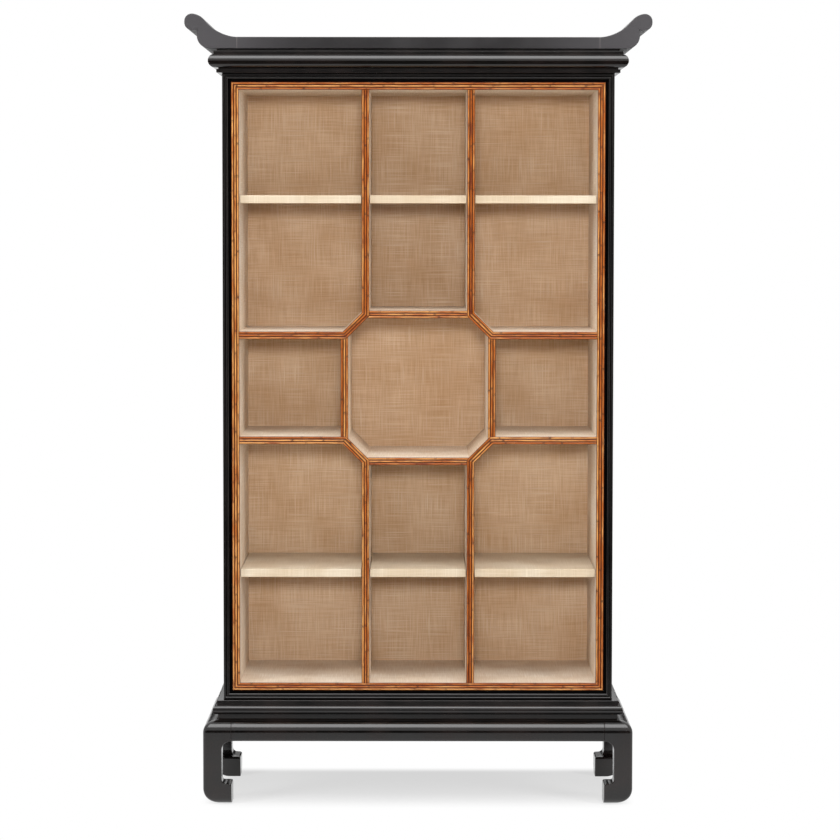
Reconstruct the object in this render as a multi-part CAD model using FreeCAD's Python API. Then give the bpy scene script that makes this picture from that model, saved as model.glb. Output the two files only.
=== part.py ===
import FreeCAD
import Part
import math
import os

# A free-standing display cabinet: a black lacquered case with a pagoda crown on a low stand with hoof
# feet. Inside, boards wrapped in woven cloth divide it round an octagon, half-round canes edge the
# boards and loose shelves lie on pegs.
# Millimetres. X runs to the right, -Y to the front, +Z up; the origin is on the floor under the middle.

# Case, lacquered panels behind a reeded face frame
case_width = 1058.0
case_depth = 388.0
case_height = 1700.0
panel = 24.0                  # thickness of sides, top and bottom, and width of the face strips
face_thickness = 20.0
reed_width = 7.0
reed_gap = 2.0
reed_depth = 3.0
face_recess = 9.0             # the flat beside the canes lies this far behind the reeds
back_thickness = 10.0
back_setback = 8.0
case_tongue = 8.0             # side of the square tongue on the ends of top and bottom

# Stand
stand_reach = 53.0            # the stand stands out this far in front of and beside the case
stand_height = 226.0
post = 50.5                   # side of the leg post
foot = 77.0                   # side of the hoof and of the leg head in plan
hoof_height = 56.0
rail_height = 53.0
rail_thickness = 60.0
shoulder_round = 30.0         # top edge of rails and leg heads
heel_round = 44.0             # outer corner of the foot, seen from the front
toe_round = 32.0              # the same, seen from the side
knee_round = 24.0             # under the rail
ankle_round = 14.0            # above the hoof
leg_corner_round = 10.0
stand_edge_round = 4.0
tenon_length = 28.0
tenon_thickness = 20.0
tenon_height = 26.0
tenon_clearance = 0.1
block_length = 85.0           # corner block along each rail, beyond the leg head
block_height = 30.0
block_screw_distance = 32.0   # from the leg head

# Waist moulding between stand and case, reaches measured from the case faces
waist_width = 45.0            # inwards from the case faces
lower_step_height = 14.5
lower_step_reach = 14.0
bead_height = 25.0
bead_reach = 28.0
upper_step_height = 13.0
upper_step_reach = 17.0
step_edge_round = 1.5         # outer edges of the flat steps, cornice too

# Canes, linings and dividers
cane_width = 7.0
canes_per_edge = 3
cane_setback = 2.0            # crest of the canes behind the crest of the reeds
housing_depth = 6.0           # ends of the dividers let into the linings
upright_offset = 142.5        # middle of upright and crossbar from the middle of the octagon
octagon_half = 199.5          # middle of the octagon boards from its own middle
dowel_diameter = 6.0
dowel_length = 20.0
dowel_fit = 0.1
dowel_end_distance = 60.0     # outer dowels from the front and back edges of the boards

# Shelves and pegs
shelf_thickness = 22.0
lower_shelf_level = 309.5     # upper face above the floor lining
upper_shelf_drop = 283.5      # upper face below the ceiling lining
shelf_setback = 17.0          # front edge behind the crest of the canes
shelf_end_clearance = 1.5
shelf_back_clearance = 1.0
shelf_edge_round = 1.5
peg_diameter = 6.0
peg_depth = 9.0               # in the wall
peg_reach = 8.0               # out of the wall, into a groove in the end of the shelf
peg_fit = 0.1
groove_clearance = 0.3        # round the pegs
peg_end_distance = 45.0       # from the front and back edges of the shelf

# Cornice, reaches measured from the case faces
cornice_width = 45.0          # inwards from the case faces
cornice_fillet_height = 9.5
cornice_fillet_reach = 14.0
quirk_height = 4.0            # groove between fillet and torus
quirk_reach = 9.0
torus_height = 35.0
torus_reach = 35.0
strip_height = 10.0
strip_reach = 21.0
shadow_gap_height = 5.5
shadow_gap_reach = 12.0

# Crown plank and its scroll ends
plank_thickness = 31.0
plank_reach = 25.0            # in front of the case
scroll_reach = 98.5           # tip beyond the case sides
scroll_rise = 62.0            # tip above the plank
scroll_height = 44.0
scroll_crest = 38.5           # from the tip back to where the slope starts
scroll_slope = 48.0           # degrees
sweep_round = 104.0           # hollow at the foot of the slope
crest_round = 45.0
lobe_reach = 65.0             # lobe under the scroll, beyond the case sides
lobe_round = 34.0
crease_width = 4.0            # notch between scroll and lobe
crease_depth = 3.0
crown_tongue_length = 18.0
crown_tongue_thickness = 11.0
crown_tongue_clearance = 0.1

# Screws, all of one size
screw_length = 58.0
screw_diameter = 5.0
screw_head_diameter = 10.0
screw_head_height = 3.0
screw_fit = 0.1
screw_spacing = 340.0         # along the case width
back_screw_spacing = 400.0    # up the back panel, from the middle of the octagon

# Planes and levels that follow from the sizes above
front = -(case_depth + stand_reach) / 2
rear = -front
case_front = front + stand_reach
case_half = case_width / 2
stand_half = case_half + stand_reach
rail_bottom = stand_height - rail_height
head_inside = -stand_half + foot
head_back = front + foot
bead_bottom = stand_height + lower_step_height
bead_top = bead_bottom + bead_height
case_bottom = bead_top + upper_step_height
case_top = case_bottom + case_height
panel_front = case_front + face_thickness
back_rear = rear - back_setback
back_front = back_rear - back_thickness
board = canes_per_edge * cane_width
cane_crest = case_front + cane_setback
board_front = cane_crest + cane_width / 2
lining_half = case_half - panel
lining_bottom = case_bottom + panel
lining_top = case_top - panel
bay_half = lining_half - board
bay_floor = lining_bottom + board
bay_ceiling = lining_top - board
bay_middle = (bay_floor + bay_ceiling) / 2
octagon_inside = upright_offset - board / 2
octagon_turn = octagon_half - board / 2 * math.tan(math.pi / 8)
quirk_bottom = case_top + cornice_fillet_height
torus_bottom = quirk_bottom + quirk_height
torus_top = torus_bottom + torus_height
strip_top = torus_top + strip_height
plank_bottom = strip_top + shadow_gap_height
plank_top = plank_bottom + plank_thickness
plank_front = case_front - plank_reach

Vec = FreeCAD.Vector
ALONG_X = Vec(1, 0, 0)
ALONG_Y = Vec(0, 1, 0)
ALONG_Z = Vec(0, 0, 1)
nodes = {}
cuts = {}


def in_plan(x, y):
    return Vec(x, y, 0)


def in_front_view(x, z):
    return Vec(x, 0, z)


def in_side_view(y, z):
    return Vec(0, y, z)


def box(x, y, z):
    """Box from three (low, high) pairs."""
    return Part.makeBox(x[1] - x[0], y[1] - y[0], z[1] - z[0], Vec(x[0], y[0], z[0]))


def about(middle, size):
    return (middle - size / 2, middle + size / 2)


def mirrored(shape, axis):
    return shape.mirror(Vec(0, 0, 0), axis)


def rounded_face(corners, place):
    """Face inside an outline of (a, b, radius) corners, which place(a, b) sets in space.

    Roundings that do not fit on the side they share give way in equal measure.
    """
    count = len(corners)
    points = [place(a, b) for a, b, radius in corners]
    sides = [points[(k + 1) % count] - points[k] for k in range(count)]
    turns = [sides[k - 1].getAngle(sides[k]) for k in range(count)]
    tangents = [corners[k][2] * math.tan(turns[k] / 2) for k in range(count)]
    shares = []
    for k in range(count):
        wanted = tangents[k] + tangents[(k + 1) % count]
        shares.append(sides[k].Length / max(wanted, sides[k].Length))
    starts = []
    middles = []
    ends = []
    for k in range(count):
        before = sides[k - 1] / sides[k - 1].Length
        after = sides[k] / sides[k].Length
        reach = tangents[k] * min(shares[k - 1], shares[k])
        starts.append(points[k] - before * reach)
        middles.append(points[k] + (after - before).normalize() * reach * math.tan(turns[k] / 4))
        ends.append(points[k] + after * reach)
    edges = []
    tiny = 1e-6
    for k in range(count):
        following = starts[(k + 1) % count]
        if not starts[k].isEqual(ends[k], tiny):
            edges.append(Part.Arc(starts[k], middles[k], ends[k]).toShape())
        if not ends[k].isEqual(following, tiny):
            edges.append(Part.makeLine(ends[k], following))
    return Part.Face(Part.Wire(edges))


def plain_face(points):
    return Part.Face(Part.makePolygon(points + points[:1]))


def front_prism(view, start, end):
    """Solid between two planes across Y, from the points of its front view."""
    face = plain_face(view)
    face.translate(ALONG_Y * start)
    return face.extrude(ALONG_Y * (end - start))


def mitred_run(points, width, closed=False):
    """Members of one width along a line of middle points in front view, mitred where it turns.

    Gives the ends of the middle line and the front view of each member.
    """
    if closed:
        points = points + points[:1]
    steps = [(end - start).normalize() for start, end in zip(points, points[1:])]
    normals = [Vec(-step.z, 0, step.x) for step in steps]
    before = [normals[-1] if closed else normals[0]] + normals
    after = normals + [normals[0] if closed else normals[-1]]
    spans = [(one + two) / (1 + one.dot(two)) * (width / 2) for one, two in zip(before, after)]
    members = []
    for start, end, span, next_span in zip(points, points[1:], spans, spans[1:]):
        members.append((start, end, [start - span, start + span, end + next_span, end - next_span]))
    return members


def frame_members(half, bottom, top, width):
    """Left, top, right and bottom members inside a rectangle of the given outer size."""
    inset = width / 2
    corners = [
        in_front_view(-half + inset, bottom + inset),
        in_front_view(-half + inset, top - inset),
        in_front_view(half - inset, top - inset),
        in_front_view(half - inset, bottom + inset),
    ]
    return mitred_run(corners, width, closed=True)


def drill(tool, *names):
    """Take a tool's shape out of the named pieces once all of them are made."""
    for name in names:
        cuts.setdefault(name, []).append(tool)


def is_inner_edge(bounds):
    """Whether an edge runs down the inner side of the leg on one of its two outer faces."""
    tiny = 1e-3
    between = bounds.ZMin > hoof_height - tiny and bounds.ZMax < rail_bottom + tiny
    on_front = bounds.YMax < tiny and bounds.XMin > post - tiny
    on_side = bounds.XMax < tiny and bounds.YMin > post - tiny
    return between and (on_front or on_side)


def make_legs():
    """Four legs: what a C-shaped front outline, a like side outline and the plan have in common."""
    outline = [
        (foot, 0, 0),
        (foot, hoof_height, 0),
        (post, hoof_height, ankle_round),
        (post, rail_bottom, knee_round),
        (foot, rail_bottom, 0),
        (foot, stand_height, 0),
        (0, stand_height, shoulder_round),
    ]
    plan = [(0, 0, leg_corner_round), (foot, 0, 0), (foot, foot, 0), (0, foot, 0)]
    leg = rounded_face([(0, 0, heel_round), *outline], in_front_view).extrude(ALONG_Y * foot)
    leg = leg.common(rounded_face([(0, 0, toe_round), *outline], in_side_view).extrude(ALONG_X * foot))
    leg = leg.common(rounded_face(plan, in_plan).extrude(ALONG_Z * stand_height))
    leg = leg.makeFillet(stand_edge_round, [edge for edge in leg.Edges if is_inner_edge(edge.BoundBox)])
    deep = (foot - tenon_length - tenon_clearance, foot)
    wide = about(rail_thickness / 2, tenon_thickness + 2 * tenon_clearance)
    high = about(rail_bottom + rail_height / 2, tenon_height + 2 * tenon_clearance)
    leg = leg.cut([box(deep, wide, high), box(wide, deep, high)])
    leg.translate(Vec(-stand_half, front, 0))
    nodes["stand_leg_front_left"] = leg
    nodes["stand_leg_front_right"] = mirrored(leg, ALONG_X)
    nodes["stand_leg_rear_left"] = mirrored(leg, ALONG_Y)
    nodes["stand_leg_rear_right"] = mirrored(nodes["stand_leg_rear_left"], ALONG_X)


def rail(length):
    """A rail along X with its outer face at Y = 0 and a tenon on each end."""
    section = [
        (0, rail_bottom, stand_edge_round),
        (0, stand_height, shoulder_round),
        (rail_thickness, stand_height, 0),
        (rail_thickness, rail_bottom, 0),
    ]
    body = rounded_face(section, in_side_view).extrude(ALONG_X * length)
    body.translate(ALONG_X * (-length / 2))
    tenons = box(
        about(0, length + 2 * tenon_length),
        about(rail_thickness / 2, tenon_thickness),
        about(rail_bottom + rail_height / 2, tenon_height),
    )
    return body.fuse(tenons).removeSplitter()


def make_rails():
    long_rail = rail(2 * (stand_half - foot))
    long_rail.translate(ALONG_Y * front)
    nodes["stand_rail_front"] = long_rail
    nodes["stand_rail_rear"] = mirrored(long_rail, ALONG_Y)
    short_rail = rail(rear - front - 2 * foot)
    short_rail.rotate(Vec(0, 0, 0), ALONG_Z, -90)
    short_rail.translate(ALONG_X * -stand_half)
    nodes["stand_rail_left"] = short_rail
    nodes["stand_rail_right"] = mirrored(short_rail, ALONG_X)


def make_corner_blocks():
    """Blocks in the corners of the rail frame, notched round the leg heads."""
    rail_inside = -stand_half + rail_thickness
    rail_back = front + rail_thickness
    plan = [
        in_plan(head_inside, rail_back),
        in_plan(head_inside + block_length, rail_back),
        in_plan(rail_inside, head_back + block_length),
        in_plan(rail_inside, head_back),
        in_plan(head_inside, head_back),
    ]
    block = plain_face(plan).extrude(ALONG_Z * block_height)
    block.translate(ALONG_Z * (stand_height - block_height))
    pair = [block, mirrored(block, ALONG_Y)]
    nodes["stand_corner_blocks"] = Part.makeCompound(pair + [mirrored(one, ALONG_X) for one in pair])


def make_mouldings(section, width, reach, names):
    """Front, left and right mouldings, mitred at the front corners, and a plain rear rail.

    The section's first values are distances outwards from the case faces, its second are levels.
    """
    bottom = section[0][1]
    top = section[-1][1]
    outer = case_half + reach
    inner = case_half - width
    front_plan = [
        Vec(-outer, case_front - reach, bottom),
        Vec(outer, case_front - reach, bottom),
        Vec(inner, case_front + width, bottom),
        Vec(-inner, case_front + width, bottom),
    ]
    left_plan = [
        Vec(-outer, case_front - reach, bottom),
        Vec(-inner, case_front + width, bottom),
        Vec(-inner, rear, bottom),
        Vec(-outer, rear, bottom),
    ]
    up = ALONG_Z * (top - bottom)
    across = rounded_face([(case_front - out, z, r) for out, z, r in section], in_side_view)
    across.translate(ALONG_X * -outer)
    across = across.extrude(ALONG_X * (2 * outer))
    back = rounded_face([(-case_half - out, z, r) for out, z, r in section], in_front_view)
    back.translate(ALONG_Y * (case_front - reach))
    back = back.extrude(ALONG_Y * (rear - case_front + reach))
    front_name, left_name, right_name, rear_name = names
    nodes[front_name] = across.common(plain_face(front_plan).extrude(up))
    nodes[left_name] = back.common(plain_face(left_plan).extrude(up))
    nodes[right_name] = mirrored(nodes[left_name], ALONG_X)
    nodes[rear_name] = box((-inner, inner), (rear - width, rear), (bottom, top))


def make_waist():
    bead_round = bead_height / 2
    section = [
        (-waist_width, stand_height, 0),
        (lower_step_reach, stand_height, 0),
        (lower_step_reach, bead_bottom, 0),
        (bead_reach, bead_bottom, bead_round),
        (bead_reach, bead_top, bead_round),
        (upper_step_reach, bead_top, 0),
        (upper_step_reach, case_bottom, step_edge_round),
        (-waist_width, case_bottom, 0),
    ]
    names = ["waist_moulding_front", "waist_moulding_left", "waist_moulding_right", "waist_rail_rear"]
    make_mouldings(section, waist_width, bead_reach, names)


def make_case():
    """Sides with top and bottom tongued between them, and the back panel behind."""
    inside = (panel_front, back_front)
    nodes["case_side_left"] = box((-case_half, -lining_half), (panel_front, rear), (case_bottom, case_top))
    nodes["case_side_right"] = mirrored(nodes["case_side_left"], ALONG_X)
    for name, low in (("case_bottom", case_bottom), ("case_top", lining_top)):
        tongues = box(about(0, 2 * (lining_half + case_tongue)), inside, about(low + panel / 2, case_tongue))
        drill(tongues, "case_side_left", "case_side_right")
        body = box((-lining_half, lining_half), inside, (low, low + panel))
        nodes[name] = body.fuse(tongues).removeSplitter()
    nodes["back_panel"] = box((-lining_half, lining_half), (back_front, back_rear), (case_bottom, case_top))


def make_face_frame():
    """Reeded strips on the front edges of the case panels."""
    second = reed_width + reed_gap
    inner_side = second + reed_width
    reed_round = reed_width / 2
    section = [
        (0, face_thickness, 0),
        (0, 0, reed_round),
        (reed_width, 0, reed_round),
        (reed_width, reed_depth, 0),
        (second, reed_depth, 0),
        (second, 0, reed_round),
        (inner_side, 0, reed_round),
        (inner_side, face_recess, 0),
        (panel, face_recess, 0),
        (panel, face_thickness, 0),
    ]
    names = ["face_stile_left", "face_rail_top", "face_stile_right", "face_rail_bottom"]
    for name, member in zip(names, frame_members(case_half, case_bottom, case_top, panel)):
        start, end, view = member
        along = (end - start).normalize()
        inwards = Vec(along.z, 0, -along.x)
        outer_edge = start - (along + inwards / 2) * panel + ALONG_Y * case_front
        face = rounded_face(section, lambda across, deep: outer_edge + inwards * across + ALONG_Y * deep)
        strip = face.extrude(along * ((end - start).Length + 2 * panel))
        nodes[name] = strip.common(front_prism(view, case_front, panel_front))


def make_linings():
    depth = (board_front, back_front)
    nodes["lining_left"] = box((-lining_half, -bay_half), depth, (lining_bottom, lining_top))
    nodes["lining_right"] = mirrored(nodes["lining_left"], ALONG_X)
    nodes["lining_floor"] = box((-bay_half, bay_half), depth, (lining_bottom, bay_floor))
    nodes["lining_ceiling"] = box((-bay_half, bay_half), depth, (bay_ceiling, lining_top))


def divider_runs():
    """Name, ends of the middle line and front view of every divider board.

    Upright, corner and crossbar are one mitred run in each quarter, let into the linings at its ends.
    The flat boards of the octagon fit between the runs, so their ends follow the corner boards.
    """
    quarter = [
        (-upright_offset, bay_ceiling - bay_middle + housing_depth),
        (-upright_offset, octagon_half),
        (-octagon_half, upright_offset),
        (-bay_half - housing_depth, upright_offset),
    ]
    runs = []
    for height, up in (("upper", 1), ("lower", -1)):
        for hand, right in (("left", 1), ("right", -1)):
            points = [in_front_view(right * x, bay_middle + up * z) for x, z in quarter]
            names = [f"{kind}_{height}_{hand}" for kind in ("upright", "octagon_corner", "crossbar")]
            runs += [(name, *member) for name, member in zip(names, mitred_run(points, board))]
    far = octagon_half + board / 2
    near = octagon_half - board / 2
    heel = octagon_inside + octagon_turn - near
    flat = [
        (-octagon_inside, octagon_half),
        (octagon_inside, octagon_half),
        (-octagon_inside, far),
        (-octagon_inside, octagon_turn),
        (-heel, near),
        (heel, near),
        (octagon_inside, octagon_turn),
        (octagon_inside, far),
    ]
    for name, turn in (("top", 0), ("left", 1), ("bottom", 2), ("right", 3)):
        points = [in_front_view(x, bay_middle + z) for x, z in quarter_turns(flat, turn)]
        runs.append((f"octagon_{name}", points[0], points[1], points[2:]))
    return runs


def quarter_turns(points, count):
    for _ in range(count):
        points = [(-z, x) for x, z in points]
    return points


def make_dividers():
    linings = ["lining_left", "lining_right", "lining_floor", "lining_ceiling"]
    for name, start, end, view in divider_runs():
        nodes[name] = front_prism(view, board_front, back_front)
        if not name.startswith("octagon"):
            drill(nodes[name], *linings)


def canes_along(start, end, view):
    """Half-round canes side by side on the front edge of a board, cut to its ends."""
    along = (end - start).normalize()
    across = Vec(-along.z, 0, along.x)
    length = (end - start).Length + 2 * board
    room = front_prism(view, cane_crest, board_front)
    canes = []
    for k in range(canes_per_edge):
        shift = across * ((k + 0.5) * cane_width - board / 2)
        base = start - along * board + shift + ALONG_Y * board_front
        canes.append(Part.makeCylinder(cane_width / 2, length, base, along).common(room))
    return canes


def make_canes():
    canes = []
    for start, end, view in frame_members(lining_half, lining_bottom, lining_top, board):
        canes += canes_along(start, end, view)
    nodes["frame_canes"] = Part.makeCompound(canes)
    opening = box((-bay_half, bay_half), (cane_crest, board_front), (bay_floor, bay_ceiling))
    canes = []
    for name, start, end, view in divider_runs():
        canes += [cane.common(opening) for cane in canes_along(start, end, view)]
    nodes["divider_canes"] = Part.makeCompound([solid for cane in canes for solid in cane.Solids])


def make_shelves():
    """Loose boards that slide over four pegs each, in grooves that are open at the back."""
    depth = (cane_crest + shelf_setback, back_front - shelf_back_clearance)
    edges = [-bay_half, -upright_offset - board / 2, -octagon_inside]
    edges += [-edge for edge in reversed(edges)]
    groove_side = peg_diameter + 2 * groove_clearance
    groove_run = (depth[0] + peg_end_distance - groove_side / 2, depth[1])
    pegs = []
    for height, top in (("upper", bay_ceiling - upper_shelf_drop), ("lower", bay_floor + lower_shelf_level)):
        middle = top - shelf_thickness / 2
        uprights = [f"upright_{height}_left", f"upright_{height}_right"]
        walls = ["lining_left", uprights[0], *uprights, uprights[1], "lining_right"]
        shelves = [f"shelf_{height}_{bay}" for bay in ("left", "left", "centre", "centre", "right", "right")]
        for k in range(0, len(edges), 2):
            width = (edges[k] + shelf_end_clearance, edges[k + 1] - shelf_end_clearance)
            shelf = box(width, depth, about(middle, shelf_thickness))
            nodes[shelves[k]] = shelf.makeFillet(shelf_edge_round, shelf.Edges)
        for edge, wall, shelf, inwards in zip(edges, walls, shelves, [ALONG_X, -ALONG_X] * 3):
            groove = about(edge, 2 * (peg_reach + groove_clearance))
            drill(box(groove, groove_run, about(middle, groove_side)), shelf)
            for y in (depth[0] + peg_end_distance, depth[1] - peg_end_distance):
                root = Vec(edge, y, middle) - inwards * peg_depth
                pegs.append(Part.makeCylinder(peg_diameter / 2, peg_depth + peg_reach, root, inwards))
                hole = Part.makeCylinder(
                    peg_diameter / 2 + peg_fit, peg_depth + peg_fit, Vec(edge, y, middle), -inwards
                )
                drill(hole, wall)
    nodes["shelf_pegs"] = Part.makeCompound(pegs)


def make_dowels():
    """Dowels across the seats of the flat octagon boards."""
    seat = octagon_half + board / 4
    middle_y = (board_front + back_front) / 2
    spread = back_front - board_front - 2 * dowel_end_distance
    joints = []
    for height, up in (("upper", 1), ("lower", -1)):
        for hand, right in (("left", -1), ("right", 1)):
            flat = "octagon_top" if up > 0 else "octagon_bottom"
            joints.append((right * octagon_inside, up * seat, ALONG_X, flat, f"upright_{height}_{hand}"))
            side = f"octagon_{hand}"
            joints.append((right * seat, up * octagon_inside, ALONG_Z, side, f"crossbar_{height}_{hand}"))
    dowels = []
    for x, z, along, flat, neighbour in joints:
        for y in (middle_y - spread / 2, middle_y, middle_y + spread / 2):
            start = Vec(x, y, bay_middle + z) - along * (dowel_length / 2)
            dowels.append(Part.makeCylinder(dowel_diameter / 2, dowel_length, start, along))
            room = dowel_length + 2 * dowel_fit
            hole = Part.makeCylinder(dowel_diameter / 2 + dowel_fit, room, start - along * dowel_fit, along)
            drill(hole, flat, neighbour)
    nodes["octagon_dowels"] = Part.makeCompound(dowels)


def make_cornice():
    torus_round = torus_height / 2
    section = [
        (-cornice_width, case_top, 0),
        (cornice_fillet_reach, case_top, step_edge_round),
        (cornice_fillet_reach, quirk_bottom, step_edge_round),
        (quirk_reach, quirk_bottom, 0),
        (quirk_reach, torus_bottom, 0),
        (torus_reach, torus_bottom, torus_round),
        (torus_reach, torus_top, torus_round),
        (strip_reach, torus_top, 0),
        (strip_reach, strip_top, step_edge_round),
        (shadow_gap_reach, strip_top, 0),
        (shadow_gap_reach, plank_bottom, 0),
        (-cornice_width, plank_bottom, 0),
    ]
    names = ["cornice_front", "cornice_left", "cornice_right", "cornice_rear"]
    make_mouldings(section, cornice_width, torus_reach, names)


def make_crown():
    """Plank with tongued ends, and scroll ends that start where their hollow meets the plank."""
    slope = math.radians(scroll_slope)
    tip = case_half + scroll_reach
    crest = tip - scroll_crest
    hollow = crest - scroll_rise / math.tan(slope)
    seam = hollow - sweep_round * math.tan(slope / 2)
    lobe = case_half + lobe_reach
    scroll_top = plank_top + scroll_rise
    scroll_bottom = scroll_top - scroll_height
    scroll_round = scroll_height / 2
    outline = [
        (seam, plank_bottom, 0),
        (lobe, plank_bottom, lobe_round),
        (lobe, scroll_bottom - crease_width, crease_width),
        (lobe - crease_width / 2, scroll_bottom + crease_depth, 0),
        (lobe + crease_width, scroll_bottom, crease_width),
        (tip, scroll_bottom, scroll_round),
        (tip, scroll_top, scroll_round),
        (crest, scroll_top, crest_round),
        (hollow, plank_top, sweep_round),
        (seam, plank_top, 0),
    ]
    depth = (plank_front, rear)
    thin = about(plank_bottom + plank_thickness / 2, crown_tongue_thickness)
    room = about(plank_bottom + plank_thickness / 2, crown_tongue_thickness + 2 * crown_tongue_clearance)
    groove = box((seam, seam + crown_tongue_length + crown_tongue_clearance), depth, room)
    face = rounded_face(outline, in_front_view)
    face.translate(ALONG_Y * plank_front)
    scroll = face.extrude(ALONG_Y * (rear - plank_front)).cut(groove)
    nodes["crown_scroll_right"] = scroll
    nodes["crown_scroll_left"] = mirrored(scroll, ALONG_X)
    plank = box((-seam, seam), depth, (plank_bottom, plank_top))
    tongues = box(about(0, 2 * (seam + crown_tongue_length)), depth, thin)
    nodes["crown_plank"] = plank.fuse(tongues).removeSplitter()


def screw_solid(head, along, fit):
    """Countersunk screw with its head at a point, grown all round by fit."""
    shank = Part.makeCylinder(screw_diameter / 2 + fit, screw_length + fit, head, along)
    cone = Part.makeCone(
        screw_head_diameter / 2 + fit, screw_diameter / 2 + fit, screw_head_height, head, along
    )
    return shank.fuse(cone)


def make_screws():
    """Screws through corner blocks, case bottom, case top and back panel, and their holes."""
    screws = []
    block_x = (stand_half - rail_thickness + case_half - waist_width) / 2
    block_y = -head_back - block_screw_distance
    for hand, right in (("left", -1), ("right", 1)):
        for back in (-1, 1):
            head = Vec(right * block_x, back * block_y, stand_height - block_height)
            screws.append((head, ALONG_Z, ["stand_corner_blocks", f"waist_moulding_{hand}"]))
    rows = [
        ("case_bottom", lining_bottom, -ALONG_Z, waist_width, "waist_moulding", "waist_rail_rear"),
        ("case_top", lining_top, ALONG_Z, cornice_width, "cornice", "cornice_rear"),
    ]
    for held, level, along, width, moulding, rear_rail in rows:
        front_y = (panel_front + case_front + width) / 2
        rear_y = (back_front + rear - width) / 2
        for x in (-screw_spacing, 0, screw_spacing):
            screws.append((Vec(x, front_y, level), along, [held, f"{moulding}_front"]))
            screws.append((Vec(x, rear_y, level), along, [held, rear_rail]))
        side_x = (lining_half + case_half - width) / 2
        for hand, right in (("left", -1), ("right", 1)):
            head = Vec(right * side_x, (panel_front + back_front) / 2, level)
            screws.append((head, along, [held, f"{moulding}_{hand}"]))
    for x in (-screw_spacing, 0, screw_spacing):
        screws.append((Vec(x, back_rear, case_bottom + panel / 2), -ALONG_Y, ["back_panel", "case_bottom"]))
        screws.append((Vec(x, back_rear, case_top - panel / 2), -ALONG_Y, ["back_panel", "case_top"]))
    for hand, right in (("left", -1), ("right", 1)):
        for z in (-back_screw_spacing, 0, back_screw_spacing):
            head = Vec(right * (lining_half - board / 2), back_rear, bay_middle + z)
            screws.append((head, -ALONG_Y, ["back_panel", f"lining_{hand}"]))
        for height, up in (("upper", 1), ("lower", -1)):
            head = Vec(right * upright_offset, back_rear, bay_middle + up * back_screw_spacing)
            screws.append((head, -ALONG_Y, ["back_panel", f"upright_{height}_{hand}"]))
    for head, along, held in screws:
        drill(screw_solid(head, along, screw_fit), *held)
    nodes["wood_screws"] = Part.makeCompound([screw_solid(head, along, 0) for head, along, held in screws])


make_legs()
make_rails()
make_corner_blocks()
make_waist()
make_case()
make_face_frame()
make_linings()
make_dividers()
make_canes()
make_shelves()
make_dowels()
make_cornice()
make_crown()
make_screws()

os.makedirs("parts", exist_ok=True)
for name, shape in nodes.items():
    if name in cuts:
        shape = shape.cut(cuts[name])
    shape.exportStep(f"parts/{name}.step")
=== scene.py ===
import math
import random

import bmesh
import bpy
from mathutils import Matrix, Vector, noise


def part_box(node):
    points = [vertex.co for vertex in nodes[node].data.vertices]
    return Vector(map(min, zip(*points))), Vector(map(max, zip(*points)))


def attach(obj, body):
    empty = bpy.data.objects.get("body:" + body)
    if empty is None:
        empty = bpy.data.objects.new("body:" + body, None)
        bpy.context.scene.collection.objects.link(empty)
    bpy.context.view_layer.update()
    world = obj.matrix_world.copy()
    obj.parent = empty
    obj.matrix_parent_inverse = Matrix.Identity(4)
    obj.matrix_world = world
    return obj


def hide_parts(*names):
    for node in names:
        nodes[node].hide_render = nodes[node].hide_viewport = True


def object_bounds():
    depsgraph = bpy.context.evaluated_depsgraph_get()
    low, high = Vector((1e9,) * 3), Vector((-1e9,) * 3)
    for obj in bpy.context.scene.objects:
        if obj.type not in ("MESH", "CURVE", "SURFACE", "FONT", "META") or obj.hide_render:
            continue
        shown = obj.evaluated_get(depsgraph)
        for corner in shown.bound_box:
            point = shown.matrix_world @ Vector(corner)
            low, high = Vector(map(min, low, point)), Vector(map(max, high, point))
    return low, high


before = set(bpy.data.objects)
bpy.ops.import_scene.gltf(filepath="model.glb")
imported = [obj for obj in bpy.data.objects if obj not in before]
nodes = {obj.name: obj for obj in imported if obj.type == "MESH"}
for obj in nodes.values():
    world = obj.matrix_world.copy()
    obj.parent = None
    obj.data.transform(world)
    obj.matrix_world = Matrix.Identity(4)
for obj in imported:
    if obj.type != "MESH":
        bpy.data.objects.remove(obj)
cad_low, cad_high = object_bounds()

# Legs. Each is one piece of hardwood with an inward hoof foot and a square head that holds the tenons of two
# rails. It is shaped, filled, sanded and sprayed with black lacquer.
leg_low, leg_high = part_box("stand_leg_front_left")
foot = leg_high.x - leg_low.x
stand_height = leg_high.z
rail_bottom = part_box("stand_rail_front")[0].z
post = 0.0505
hoof_height = 0.056
heel_round = 0.044
toe_round = 0.032
ankle_round = 0.014
knee_round = 0.024
shoulder_round = 0.030
leg_corner_round = 0.010
leg_edge_round = 0.003
toe_edge_round = 0.006
ring_step = 0.0003


def linear(code):
    """Linear red, green, blue and alpha of an sRGB hex colour."""
    channels = [int(code[k:k + 2], 16) / 255 for k in (1, 3, 5)]
    return [c / 12.92 if c <= 0.04045 else ((c + 0.055) / 1.055) ** 2.4 for c in channels] + [1]


def put(tree, kind, sockets=None, output=0, **settings):
    """Adds a node with its settings and gives one of its outputs, where it has any.

    Sockets gives inputs a value, an sRGB hex colour or the output to link from.
    """
    made = tree.nodes.new("ShaderNode" + kind)
    for name, value in settings.items():
        setattr(made, name, value)
    for name, value in (sockets or {}).items():
        if isinstance(value, bpy.types.NodeSocket):
            tree.links.new(value, made.inputs[name])
        else:
            made.inputs[name].default_value = linear(value) if isinstance(value, str) else value
    return made.outputs[output] if len(made.outputs) else None


def new_finish(name):
    """A material with an empty node tree, and that tree."""
    material = bpy.data.materials.new(name)
    material.use_nodes = True
    material.node_tree.nodes.clear()
    return material, material.node_tree


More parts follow.
